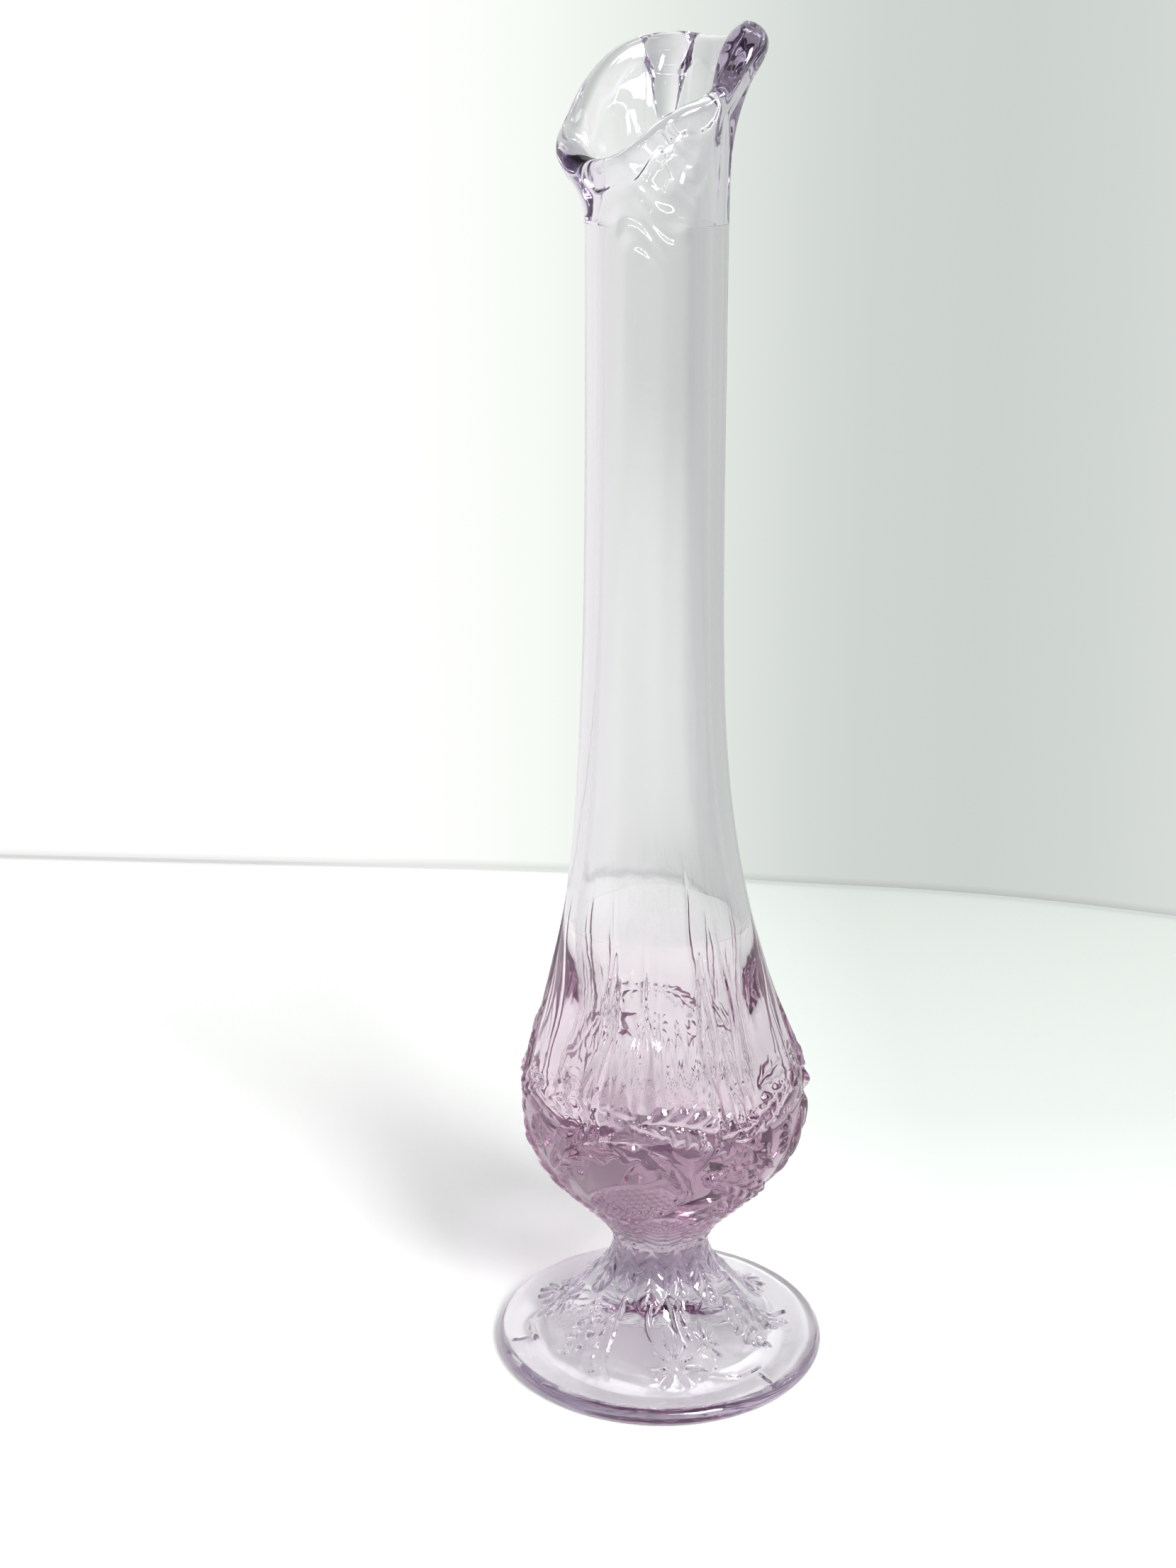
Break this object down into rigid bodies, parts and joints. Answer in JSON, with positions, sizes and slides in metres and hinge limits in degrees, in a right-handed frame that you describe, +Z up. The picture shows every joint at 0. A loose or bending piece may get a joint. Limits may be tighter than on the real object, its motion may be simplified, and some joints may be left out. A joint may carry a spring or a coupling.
{
  "type": "glass bud vase",
  "caption": "Tall glass bud vase on a round foot: short stem, thick ridged bowl, long drawn-out neck and a slanted, flared lip with pulled fingers.",
  "frame": {"origin": "middle of the foot's underside, on the surface the vase stands on", "axes": "+Z up, from the foot to the mouth; -Y is the front, the low side of the slanted lip; the neck leans towards -X"},
  "size_m": [0.076, 0.076, 0.2967],
  "materials": {
    "foot_glass": "clear lavender glass, glossy pressed surface",
    "bowl_glass": "thick mauve glass, glossy pressed surface",
    "neck_glass": "thin, almost colourless lilac glass, fire-polished"
  },
  "bodies": {
    "root": {"foot": "foot_glass", "stem": "foot_glass", "bowl": "bowl_glass", "neck": "neck_glass", "lip": "neck_glass"}
  },
  "joints": []
}
